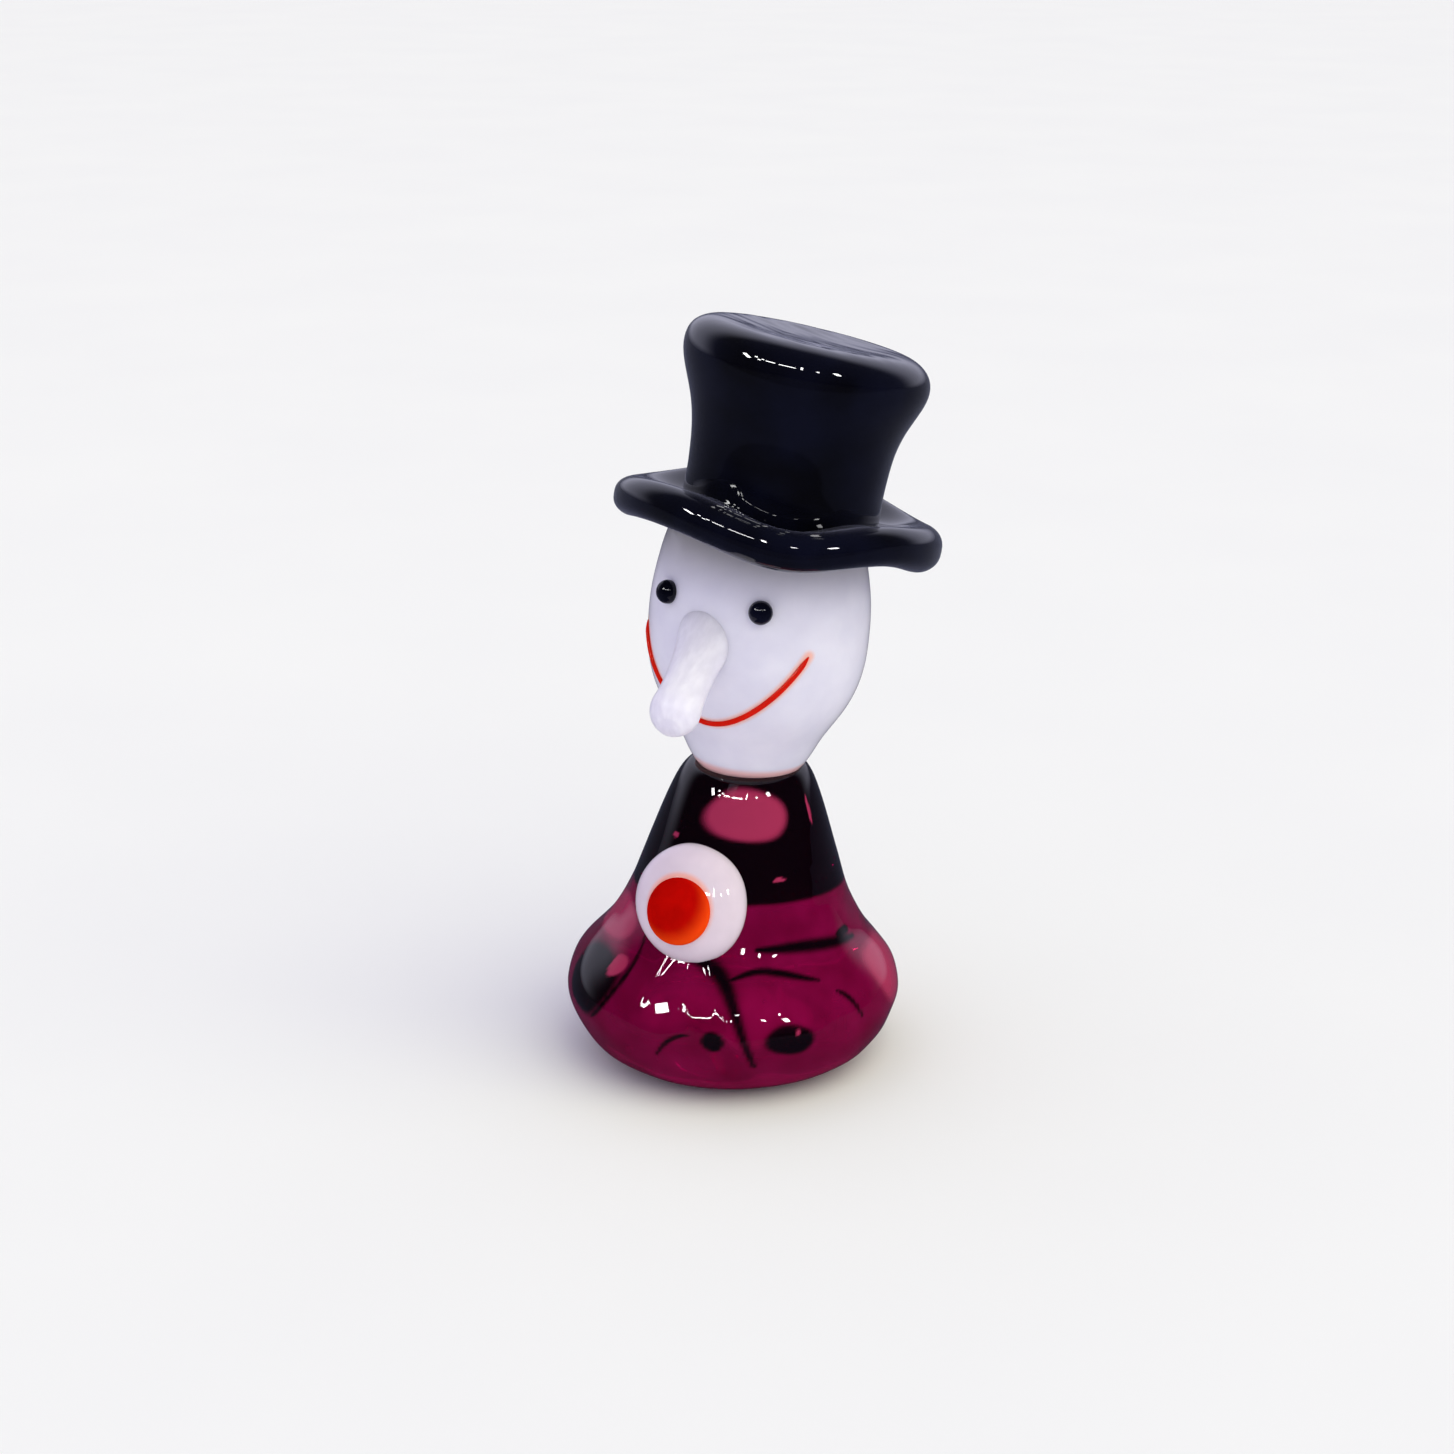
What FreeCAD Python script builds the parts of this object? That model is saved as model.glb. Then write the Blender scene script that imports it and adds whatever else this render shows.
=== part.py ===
"""Flameworked glass figurine: an egg-headed gentleman in a top hat, standing on a bell-shaped body.

Millimetres.  The origin is the centre of the flat resting face, +Z is up, and the face looks along -Y.
Every piece is solid glass, fused hot to its neighbours, so nothing moves and nothing is fastened.
"""
import FreeCAD, Part
import math
import os

V = FreeCAD.Vector
Z_AXIS = V(0, 0, 1)
INWARD = V(-1, 0, 0)       # in an outline, towards its axis

# ---- driving dimensions -------------------------------------------------------------------------
# heading: degrees from +X towards +Y;  shift: distance along the lean heading
LEAN_HEADING = 25.0

BELL_LEAN = 3.0            # degrees
BELL_OUTLINE = (           # radius, height along the leaning axis; below 0 is ground away flat
    (5.4, -0.5),
    (7.0, 0.1),
    (8.6, 1.2),
    (9.65, 2.7),
    (10.03, 4.4),
    (9.55, 5.8),
    (8.3, 7.2),
    (6.95, 9.1),
    (6.15, 11.0),
    (5.15, 14.0),
    (4.1, 16.9),
    (3.5, 18.5),
)
GROUND_WIDTH = 40.0        # block that is ground away below the resting face
GROUND_DEPTH = 5.0

HEAD_LEAN = 4.0            # degrees
HEAD_BASE = 18.0           # height of the neck ring
HEAD_SHIFT = 1.17
HEAD_RADIUS = 6.35
HEAD_OUTLINE = (           # radius, height above the neck ring
    (3.05, 0),
    (4.2, 2.0),
    (5.42, 4.0),
    (HEAD_RADIUS, 8.3),
    (5.97, 12.0),
    (5.3, 14.2),
)
HEAD_BOTTOM = -1.2         # round bottom, below the neck ring
HEAD_TOP = 16.8            # dome inside the hat

HAT_LEAN = 10.7            # degrees
HAT_LEAN_HEADING = 47.0    # the hat also tips a little backwards
HAT_BASE = 33.35           # height of the hat frame, where crown and brim meet
HAT_SHIFT = 2.97
CROWN_WAIST = 5.6
CROWN_FLARE = (            # radius, height between the waist and the rim
    (5.75, 3.5),
    (6.35, 5.9),
)
CROWN_RIM = 6.95
CROWN_HEIGHT = 10.0
RIM_ROUND = 2.3
CROWN_DISH = 0.3           # hollow in the crown's top
HALFWAY_DISH = 0.21        # its depth halfway out to the rim
CROWN_ROOT = 0.8           # depth of the crown's foot inside the brim

BRIM_RING = 7.85           # centre line of the rolled edge
BRIM_ROLL = 1.55           # half width of the roll
BRIM_HALF_THICKNESS = 1.35
BRIM_DROP = 0.45           # the roll's middle plane, below the hat frame
BRIM_SADDLE = 0.45         # two-lobed wave: both sides hang, front and back rise
BRIM_RIPPLE = 0.4          # three-lobed wave on top of it
BRIM_DIP = 0.6             # the roll sags in one place in front
BRIM_DIP_ANGLE = -80.0     # degrees from the lean heading
BRIM_DIP_WIDTH = 28.0
BRIM_SECTIONS = 16
BRIM_WEB = 0.75            # half thickness of the disc inside the roll

NOSE_HEIGHT = 8.4          # root, above the neck ring
NOSE_SIDE = -5.0           # degrees that the root sits from -Y towards -X
NOSE_TURN = 7.3            # degrees that the rod points back towards +X
NOSE_DROOP = 29.5          # degrees below level
NOSE_LENGTH = 4.9          # from the skin of the head to the centre of the round tip
NOSE_TIP = 1.4
NOSE_BURIED = 1.3          # length inside the head before it is cut away
NOSE_OUTLINE = (           # radius, distance in front of the skin of the head
    (1.72, -NOSE_BURIED),
    (1.5, 0.4),
    (1.34, 1.9),
    (1.28, 3.3),
    (NOSE_TIP, NOSE_LENGTH),
)

GAZE = -4.5                # degrees that eyes and smile turn from -Y towards -X
EYE_HEIGHT = 10.87         # above the neck ring
EYE_SPREAD = 28.0          # degrees either side of the gaze
EYE_BEAD = 0.76
EYE_SUNK = 0.27            # depth of the bead's centre below the skin of the head

SMILE_LOW = 3.75           # lowest point, above the neck ring
SMILE_RISE = 4.6           # height of the ends above the lowest point
SMILE_HALF_ANGLE = 54.5
SMILE_THREAD = 0.18        # radius of the drawn thread
SMILE_PROUD = 0.10         # height of the thread's centre above the skin

BUTTON_HEIGHT = 11.2
BUTTON_SHIFT = 0.31        # sideways, along the lean heading
BUTTON_TILT = 22.0         # degrees that it faces upwards, square to the flank
BUTTON_RADIUS = 3.45
BUTTON_DEPTH = 2.0         # half depth
BUTTON_OUT = 5.72          # distance of the button's middle in front of the Z axis
DOT_RADIUS = 2.0
DOT_DEPTH = 0.75           # half depth
DOT_SUNK = 0.3             # depth of the dot's middle below the top of the button
DOT_DROP = 0.5             # the dot sits a little low


# ---- geometry helpers ---------------------------------------------------------------------------
def heading(degrees):
    """Level unit vector, from +X towards +Y."""
    angle = math.radians(degrees)
    return V(math.cos(angle), math.sin(angle), 0)


def leaning_frame(height, shift, lean, lean_heading):
    """Placement whose Z axis leans by an angle towards a heading."""
    base = heading(LEAN_HEADING) * shift + V(0, 0, height)
    turn_axis = Z_AXIS.cross(heading(lean_heading))
    return FreeCAD.Placement(base, FreeCAD.Rotation(turn_axis, lean))


def facing_frame(point, direction):
    """Placement at a point whose Z axis looks along a direction."""
    return FreeCAD.Placement(point, FreeCAD.Rotation(Z_AXIS, direction))


def spline(points, start=None, end=None):
    """Smooth curve through points, with optional directions at both ends."""
    curve = Part.BSplineCurve()
    if start is None:
        curve.interpolate(points)
    else:
        curve.interpolate(Points=points, InitialTangent=start, FinalTangent=end)
    return curve


def outline_points(outline):
    """Points in the XZ plane from pairs of radius and height."""
    return [V(radius, 0, height) for radius, height in outline]


def lathe(curves):
    """Solid turned about Z from a closed half outline in the XZ plane."""
    outline = Part.Wire([curve.toShape() for curve in curves])
    return Part.Face(outline).revolve(V(0, 0, 0), Z_AXIS, 360)


def flat_bead(radius, half_depth):
    """Ball squashed along Z."""
    squash = FreeCAD.Matrix()
    squash.scale(V(1, 1, half_depth / radius))
    return Part.makeSphere(radius).transformGeometry(squash)


def cap(rim, pole):
    """Arc in the XZ plane from a rim point to a pole on the Z axis; turned, it is part of a ball."""
    rise = pole.z - rim.z
    radius = (rim.x ** 2 + rise ** 2) / (2 * abs(rise))
    centre = pole.z - math.copysign(radius, rise)
    half_angle = math.asin(rim.x / radius) / 2
    middle_height = centre + math.copysign(radius * math.cos(half_angle), rise)
    middle = V(radius * math.sin(half_angle), 0, middle_height)
    return Part.Arc(rim, middle, pole)


# ---- frames -------------------------------------------------------------------------------------
HEAD_FRAME = leaning_frame(HEAD_BASE, HEAD_SHIFT, HEAD_LEAN, LEAN_HEADING)
HAT_FRAME = leaning_frame(HAT_BASE, HAT_SHIFT, HAT_LEAN, HAT_LEAN_HEADING)


def head_outline():
    """Half outline of the egg between its neck ring and its dome."""
    return spline(outline_points(HEAD_OUTLINE))


def head_skin(angle, height, depth=0.0):
    """Point on the head; angle is in degrees from -Y towards +X."""
    level = Part.LineSegment(V(0, 0, height), V(2 * HEAD_RADIUS, 0, height))
    radius = head_outline().intersect(level)[0].X - depth
    turn = math.radians(angle)
    return V(radius * math.sin(turn), -radius * math.cos(turn), height)


# ---- pieces -------------------------------------------------------------------------------------
def make_bell():
    """Solid bell, drawn in to a narrow neck, leaning a little and ground flat underneath."""
    side = spline(outline_points(BELL_OUTLINE))
    low = V(0, 0, BELL_OUTLINE[0][1])
    high = V(0, 0, BELL_OUTLINE[-1][1])
    foot = Part.LineSegment(low, side.StartPoint)
    top = Part.LineSegment(side.EndPoint, high)
    axis = Part.LineSegment(high, low)
    bell = lathe([foot, side, top, axis])
    bell.Placement = leaning_frame(0, 0, BELL_LEAN, LEAN_HEADING)
    corner = V(-GROUND_WIDTH / 2, -GROUND_WIDTH / 2, -GROUND_DEPTH)
    return bell.cut(Part.makeBox(GROUND_WIDTH, GROUND_WIDTH, GROUND_DEPTH, corner))


def make_head():
    """Egg, widest at eye level, with its round bottom sunk into the bell."""
    side = head_outline()
    bottom = V(0, 0, HEAD_BOTTOM)
    top = V(0, 0, HEAD_TOP)
    under = cap(side.StartPoint, bottom)
    dome = cap(side.EndPoint, top)
    head = lathe([side, dome, Part.LineSegment(top, bottom), under])
    head.Placement = HEAD_FRAME
    return head


def make_crown():
    """Flared solid crown with a rounded rim and a slightly dished top."""
    shoulder = CROWN_HEIGHT - RIM_ROUND
    flat = CROWN_RIM - RIM_ROUND
    bottom = V(0, 0, -CROWN_ROOT)
    waist = V(CROWN_WAIST, 0, -CROWN_ROOT)
    widest = V(CROWN_RIM, 0, shoulder)
    highest = V(flat, 0, CROWN_HEIGHT)
    hollow = V(0, 0, CROWN_HEIGHT - CROWN_DISH)
    foot = Part.LineSegment(bottom, waist)
    side = spline([waist] + outline_points(CROWN_FLARE) + [widest], Z_AXIS, Z_AXIS)
    diagonal = RIM_ROUND * math.sqrt(0.5)
    rim = Part.Arc(widest, V(flat + diagonal, 0, shoulder + diagonal), highest)
    halfway = V(flat / 2, 0, CROWN_HEIGHT - HALFWAY_DISH)
    dish = spline([highest, halfway, hollow], INWARD, INWARD)
    axis = Part.LineSegment(hollow, bottom)
    crown = lathe([foot, side, rim, dish, axis])
    crown.Placement = HAT_FRAME
    return crown


def brim_lift(angle):
    """Height of the wavy roll's centre at an angle (radians) from the lean heading."""
    beside_dip = (math.degrees(angle) - BRIM_DIP_ANGLE + 180) % 360 - 180
    dip = BRIM_DIP * math.exp(-(beside_dip / BRIM_DIP_WIDTH) ** 2)
    return -BRIM_DROP - BRIM_SADDLE * math.cos(2 * angle) - BRIM_RIPPLE * math.sin(3 * angle) - dip


def make_brim():
    """Wavy rolled ring with a thinner disc inside it."""
    sections = []
    for index in range(BRIM_SECTIONS):
        angle = 2 * math.pi * index / BRIM_SECTIONS
        outward = heading(LEAN_HEADING + math.degrees(angle))
        centre = outward * BRIM_RING + V(0, 0, brim_lift(angle))
        oval = Part.Ellipse(centre + outward * BRIM_ROLL, centre + Z_AXIS * BRIM_HALF_THICKNESS, centre)
        sections.append(Part.Wire(oval.toShape()))
    roll = Part.makeLoft(sections, True, False, True)
    web = Part.makeCylinder(BRIM_RING, 2 * BRIM_WEB, V(0, 0, -BRIM_DROP - BRIM_WEB))
    brim = roll.fuse(web).removeSplitter()
    brim.Placement = HAT_FRAME
    return brim


def make_nose():
    """Long drooping rod with a flared root and a round tip."""
    root = head_skin(NOSE_SIDE, NOSE_HEIGHT)
    droop = math.radians(NOSE_DROOP)
    direction = heading(NOSE_TURN - 90) * math.cos(droop) - Z_AXIS * math.sin(droop)
    side = spline(outline_points(NOSE_OUTLINE), Z_AXIS, Z_AXIS)
    buried_end = V(0, 0, -NOSE_BURIED)
    far_end = V(0, 0, NOSE_LENGTH + NOSE_TIP)
    diagonal = NOSE_TIP * math.sqrt(0.5)
    tip = Part.Arc(side.EndPoint, V(diagonal, 0, NOSE_LENGTH + diagonal), far_end)
    axis = Part.LineSegment(far_end, buried_end)
    back = Part.LineSegment(buried_end, side.StartPoint)
    nose = lathe([side, tip, axis, back])
    nose.Placement = HEAD_FRAME * facing_frame(root, direction)
    return nose


def make_eye(side):
    """Black bead pressed into the head; side is +1 for the figure's left eye, at +X."""
    centre = head_skin(GAZE + side * EYE_SPREAD, EYE_HEIGHT, EYE_SUNK)
    return Part.makeSphere(EYE_BEAD, HEAD_FRAME.multVec(centre))


def make_smile():
    """Fine thread bent in one arc that lies on the skin of the head, with round ends."""
    left = head_skin(GAZE + SMILE_HALF_ANGLE, SMILE_LOW + SMILE_RISE, -SMILE_PROUD)
    right = head_skin(GAZE - SMILE_HALF_ANGLE, SMILE_LOW + SMILE_RISE, -SMILE_PROUD)
    arc = Part.Arc(right, head_skin(GAZE, SMILE_LOW, -SMILE_PROUD), left)
    start = arc.tangent(arc.FirstParameter)[0]
    section = Part.Wire(Part.makeCircle(SMILE_THREAD, right, start))
    thread = Part.Wire(arc.toShape()).makePipeShell([section], True, True)
    smile = thread.fuse([Part.makeSphere(SMILE_THREAD, point) for point in (left, right)])
    smile.Placement = HEAD_FRAME
    return smile


def button_frames():
    """Placements of the middles of the button and of its dot."""
    tilt = math.radians(BUTTON_TILT)
    direction = V(0, -math.cos(tilt), math.sin(tilt))
    down = V(0, -math.sin(tilt), -math.cos(tilt))
    middle = V(0, -BUTTON_OUT, BUTTON_HEIGHT) + heading(LEAN_HEADING) * BUTTON_SHIFT
    dot_middle = middle + direction * (BUTTON_DEPTH - DOT_SUNK) + down * DOT_DROP
    return facing_frame(middle, direction), facing_frame(dot_middle, direction)


def make_figure():
    """All pieces by node name; where two meet, one is trimmed to the other."""
    button_frame, dot_frame = button_frames()
    dot = flat_bead(DOT_RADIUS, DOT_DEPTH)
    dot.Placement = dot_frame
    button = flat_bead(BUTTON_RADIUS, BUTTON_DEPTH)
    button.Placement = button_frame
    whole_head = make_head()
    bell = make_bell().cut(whole_head)
    crown = make_crown().cut(whole_head)
    left_eye = make_eye(1)
    right_eye = make_eye(-1)
    return {
        "body": bell,
        "head": whole_head.cut([left_eye, right_eye]),
        "hat_brim": make_brim().cut([whole_head, crown]),
        "hat_crown": crown,
        "nose": make_nose().cut(whole_head),
        "left_eye": left_eye,
        "right_eye": right_eye,
        "smile": make_smile(),
        "button": button.cut([bell, dot]),
        "button_centre": dot,
    }


os.makedirs("parts", exist_ok=True)
for node, shape in make_figure().items():
    print(node, "solids", len(shape.Solids), "valid", shape.isValid(), "volume", round(shape.Volume, 2))
    shape.exportStep("parts/" + node + ".step")
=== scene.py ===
"""Looks for the flameworked glass figurine: a gentleman in a top hat on an amethyst bell.

Lengths are millimetres in the figurine's own frames, and MM turns them into metres.  An angle on a
piece runs from -Y, where the face looks, towards +X; a heading runs from +X towards +Y.
"""
import math

import bmesh
import bpy
import numpy as np
from mathutils import Matrix, Vector


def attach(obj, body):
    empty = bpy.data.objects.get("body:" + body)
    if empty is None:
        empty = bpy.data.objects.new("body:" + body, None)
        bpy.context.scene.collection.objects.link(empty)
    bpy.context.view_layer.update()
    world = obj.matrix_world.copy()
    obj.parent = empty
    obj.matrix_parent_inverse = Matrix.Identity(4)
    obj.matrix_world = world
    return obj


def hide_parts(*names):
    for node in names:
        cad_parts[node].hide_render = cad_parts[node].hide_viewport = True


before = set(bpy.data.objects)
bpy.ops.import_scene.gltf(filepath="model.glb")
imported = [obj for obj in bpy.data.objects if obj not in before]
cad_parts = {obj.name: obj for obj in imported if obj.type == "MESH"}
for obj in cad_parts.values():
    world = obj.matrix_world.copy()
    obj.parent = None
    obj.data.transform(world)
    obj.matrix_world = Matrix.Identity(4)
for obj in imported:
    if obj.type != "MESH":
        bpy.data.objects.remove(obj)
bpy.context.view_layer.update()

MM = 0.001
TAU = 2 * math.pi
BODY = "root"

# ---- the figurine's frames: a shift is a distance along the lean heading ------------------------
LEAN_HEADING = math.radians(25.0)
BELL_LEAN = math.radians(3.4)
BELLY_HEIGHT = 4.3                     # below this the bell keeps one shift, above it its axis leans
HEAD_BASE = 18.0                       # height of the neck ring
HEAD_SHIFT = 1.17
HEAD_LEAN = math.radians(4.0)
HAT_BASE = 33.35                       # height where crown and brim meet
HAT_SHIFT = 2.97
HAT_LEAN = math.radians(10.7)
HAT_LEAN_HEADING = math.radians(47.0)

# ---- outlines: radius, height -------------------------------------------------------------------
BELL_SIDE = (
    (0.6, 0.4), (2.6, 0.34), (4.6, 0.15), (5.8, 0.02), (7.4, 0.45), (8.85, 1.5), (9.65, 2.85), (9.95, 4.3),
    (9.55, 5.7), (8.35, 7.2), (7.0, 9.1), (6.2, 11.0), (5.18, 14.0), (4.2, 16.7), (3.72, 17.6), (3.3, 18.0),
    (2.2, 17.9),
)
FOOT_POINTS = 3                        # points of BELL_SIDE inside the ring that it stands on
HEAD_SIDE = (
    (1.0, -1.15), (2.1, -0.75), (3.05, 0.0), (4.2, 2.0), (5.42, 4.0), (6.15, 6.0),
    (6.35, 8.3), (6.27, 10.2), (5.97, 12.0), (5.3, 14.2), (3.6, 16.0), (1.5, 16.7),
)
CROWN_SIDE = (
    (4.0, -0.9), (5.3, -0.8), (5.58, -0.3), (5.6, 0.9), (5.62, 2.2), (5.8, 4.0), (6.2, 5.5),
    (6.75, 6.9), (7.0, 8.1), (6.75, 8.98), (6.05, 9.53), (5.0, 9.74), (3.4, 9.66), (1.6, 9.56),
)
NOSE_SIDE = (
    (1.7, -1.3), (1.62, -0.5), (1.48, 0.3), (1.36, 1.2), (1.3, 2.2), (1.28, 3.3), (1.35, 4.3),
    (1.40, 4.95), (1.2, 5.6), (0.7, 6.12),
)

# ---- the bell's uneven surface ------------------------------------------------------------------
# soft dents: depth, waves around, turn per millimetre of height, phase
DENTS = ((0.045, 5, 0.9, 0.0), (0.03, 8, -1.2, 1.0), (0.02, 13, 2.0, 0.0))
DENTS_INSET = 0.06                     # sets the dented surface back a little from the outline
FLANK_START = 1.5                      # the dents come in below this height
FLANK_END = 13.0                       # and are gone above this one
FLANK_FADE = 4.0
# ridges that the shaping tools left: half width, height, then angle and height of each point
RIDGES = (
    (0.32, 0.13, (10, 9.0), (17, 7.3), (22, 5.4), (28, 3.2)),
    (0.26, 0.10, (-6, 9.0), (-9, 7.2), (-11, 5.6)),
    (0.22, 0.08, (4, 8.8), (6, 7.4), (11, 5.2)),
    (0.24, 0.08, (41, 8.6), (41, 7.4), (40, 6.0)),
)
ROUTE_POINTS = 90                      # points that a ridge or streak is followed with
BELLY_DROOP = 0.02                     # the belly hangs lower on the side that it leans to
FOOT_RADIUS = 5.6
FOOT_FADE = 1.5
FOOT_HOLLOW = 0.12
FOOT_WAVE = 0.09

# ---- painted light and shade in the bell, standing in for what its glass refracts ---------------
# painted pools, pale for the bright floor and dark for the dark room that the glass refracts: angle, height,
# half width, half height
PAINTED_DARK_POOLS = ((44, 4.5, 1.8, 0.9), (18, 4.6, 0.8, 0.6), (-39, 6.0, 2.9, 1.9), (84, 8.75, 0.8, 0.3))
PAINTED_PALE_POOLS = (
    (24, 16.1, 2.7, 1.4), (-29, 7.2, 0.6, 0.6), (108, 5.5, 3.5, 2.2), (-58, 8.9, 3.0, 1.2),
    (48, 12.6, 0.4, 0.12), (80, 15.9, 0.14, 0.8), (-26, 14.6, 0.22, 0.16), (47, 4.9, 0.2, 0.16),
)
# strength of the painted pale, painted light for the refracted floor
PAINTED_PALEST = 0.8
# painted dark streaks, painted shade for dark lines that the glass refracts: half width, then angle and
# height of each point
PAINTED_DARK_STREAKS = (
    (0.42, (-2, 8.9), (12, 8.3), (22, 7.1), (27, 5.3), (32, 3.0)),
    (0.20, (22, 7.6), (34, 7.95), (48, 7.6), (60, 7.1)),
    (0.16, (66, 6.4), (72, 5.5), (75, 4.5)),
    (0.34, (34, 9.0), (60, 8.8), (92, 8.2)),
    (0.20, (-24, 9.0), (-22, 7.4), (-25, 5.6), (-31, 4.2)),
    (0.14, (-2, 3.2), (2, 4.2), (10, 4.9)),
)
PAINTED_DARK_SHOULDER = 11.1                   # above this height the glass is painted nearly black, painted shade for the dark room that it refracts, but for the painted pale pools
SHOULDER_WAVE = 0.25
SHOULDER_SOFTNESS = 0.12
# air bubbles: angle, height, depth below the surface, radius
BUBBLES = (
    (-14, 3.1, 0.55, 0.32), (-2, 3.0, 0.5, 0.24), (-22, 4.6, 0.5, 0.16), (66, 6.0, 0.55, 0.32),
    (78, 5.6, 0.5, 0.26), (52, 7.9, 0.4, 0.13), (36, 6.4, 0.6, 0.12), (30, 12.0, 0.8, 0.14),
    (58, 5.2, 0.7, 0.12), (-30, 14.6, 0.7, 0.10), (60, 12.8, 0.6, 0.12), (120, 5.0, 0.8, 0.2),
    (160, 8.5, 0.9, 0.18), (-110, 6.5, 0.8, 0.17), (-150, 3.6, 0.8, 0.24), (95, 9.5, 0.7, 0.12),
)

# ---- face ---------------------------------------------------------------------------------------
GAZE = math.radians(-4.5)
EYE_SPREAD = math.radians(28.0)
EYE_HEIGHT = 10.87                     # above the neck ring, as are the heights of smile and nose
EYE_RADIUS = 0.68
EYE_HALF_DEPTH = 0.62
EYE_PROUD = 0.14                       # how far the bead's middle stands out of the head
EYE_UPTURN = 0.12                      # the beads look slightly upwards
SMILE_HALF_ANGLE = math.radians(54.5)
SMILE_LOW = 3.75
SMILE_RISE = 4.6
SMILE_RADIUS = 0.165
SMILE_PROUD = 0.02
SMILE_TAPER = 0.06                     # share of each half over which the thread is drawn out
SMILE_POINTS = 121
NOSE_ANGLE = math.radians(-5.0)
NOSE_HEIGHT = 8.4
NOSE_TURN = math.radians(7.3)          # the rod points back towards +X
NOSE_DROOP = math.radians(29.5)
NOSE_LENGTH = 4.9
NOSE_SAG = 0.25

# ---- hat ----------------------------------------------------------------------------------------
BRIM_DROP = 0.45
BRIM_SADDLE = 0.45                     # two-lobed wave
BRIM_RIPPLE = 0.4                      # three-lobed wave
# sags of the brim: angle from the lean heading and width in degrees, depth
BRIM_SAGS = ((-88, 28, 0.65), (-22, 22, 0.3), (118, 34, 0.55))
BRIM_MIDDLE = 6.83                     # radius of the middle of the brim's section
BRIM_HALF_WIDTH = 2.5
BRIM_WEB = 0.68                        # half thickness next to the crown
BRIM_ROLL = 0.70                       # what the rolled edge adds to it
BRIM_SQUARENESS = 0.75                 # power below 1 that makes the section fuller than an oval
LOBE_ANGLE = -0.25                     # radians from the lean heading
LOBE_SWELL = 0.22
LOBE_SPREAD = 0.2
CROWN_UNEVEN = 0.010                   # part of the radius by which the rim is out of round
CROWN_SLANT = 0.05                     # the crown's top slopes down towards the lean heading
# chill waves on the crown's top: height, turn per millimetre, wander, its turn per millimetre, phase
CHILL_WAVES = ((0.008, 2.6, 0.6, 0.9, 0.0), (0.005, 5.3, 1.3, 0.6, 1.0))

# ---- button -------------------------------------------------------------------------------------
BUTTON_MIDDLE = Vector((0.28, -5.59, 11.2))
BUTTON_TILT = math.radians(22.0)       # it faces upwards, square to the flank
BUTTON_RADIUS = 3.43
BUTTON_HALF_DEPTH = 1.95
DOT_RADIUS = 1.95
DOT_HALF_DEPTH = 0.72
DOT_OUT = 1.62                         # from the button's middle to the dot's middle
DOT_DROP = 0.5
DOT_RIM_HEIGHT = 0.15
DOT_DEEPEST = (-0.45, 0.5, 0.7)        # where the red is deepest, from the dot's middle

# ---- stage, light and camera --------------------------------------------------------------------
VIEW_AZIMUTH = math.radians(25.0)
VIEW_DISTANCE = 145.0
VIEW_HEIGHT = 70.0
VIEW_LENS = 65.4
AIM_SIDE = -0.08
AIM_HEIGHT = 20.07
FLOOR_REACH = 3000.0
SHEET_END = 85.0                       # in front of the figurine, where mirrored white gives way to dark
SHEET_FADE = 10.0
# colours of the room for each kind of ray
PLAIN_WHITE = (0.89, 0.89, 0.90)
SKY = (0.69, 0.672, 0.825)
MIRRORED = (0.70, 0.70, 0.88)
FLOOR_LINE = (0.06, 0.065, 0.11)
HORIZON = (-0.05, 0.13)                # rise over which FLOOR_LINE turns into MIRRORED
DARK_ROOM = 0.025                      # strength of the room in front, as glass mirrors and refracts it
DARK_TURN = 4                          # degrees from the camera
DARK_SLOPE = 0.35
DARK_INNER = math.radians(96)          # the dark room fades out between these angles from its middle
DARK_OUTER = math.radians(122)
# turn from the camera and rise, width, height and roll, all in degrees
LAMPS = (
    (-62, 34, 12.0, 4.2, -50),
    (-51, 39, 2.8, 3.2, 0),
    (-46, 32, 2.8, 3.0, 0),
    (-42, 36, 2.4, 2.6, 0),
    (-33, 34, 9.0, 2.2, -2),
    (-14, 33, 16.0, 2.0, -3),
    (3, 35, 9.0, 2.0, 75),
    (20, 32, 2.6, 3.0, 0),
    (42, 33, 5.0, 7.0, 0),
)
LAMP_DISTANCE = 600.0
LAMP_CENTRE = 22.0                     # height that the lamps surround
LAMP_RADIANCE = 60.0
KEY_TURN = 48                          # degrees from the camera
KEY_SLOPE = 1.2
KEY_SOFTNESS = math.radians(60)
KEY_ENERGY = 1.35
KEY_COLOUR = (1.0, 1.04, 0.62)


# ---- geometry helpers ---------------------------------------------------------------------------
def lean_matrix(height, shift, lean, heading):
    """Frame in metres whose Z axis leans by an angle towards a heading."""
    base = Vector((math.cos(LEAN_HEADING) * shift, math.sin(LEAN_HEADING) * shift, height)) * MM
    turn_axis = Vector((-math.sin(heading), math.cos(heading), 0))
    return Matrix.Translation(base) @ Matrix.Rotation(lean, 4, turn_axis)


def facing_matrix(point, direction):
    """Frame in metres at a point (mm) whose Z axis looks along a direction."""
    turn = Vector((0, 0, 1)).rotation_difference(Vector(direction))
    return Matrix.Translation(Vector(point) * MM) @ turn.to_matrix().to_4x4()


UPRIGHT = Matrix.Identity(4)
HEAD_FRAME = lean_matrix(HEAD_BASE, HEAD_SHIFT, HEAD_LEAN, LEAN_HEADING)
HAT_FRAME = lean_matrix(HAT_BASE, HAT_SHIFT, HAT_LEAN, HAT_LEAN_HEADING)


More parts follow.
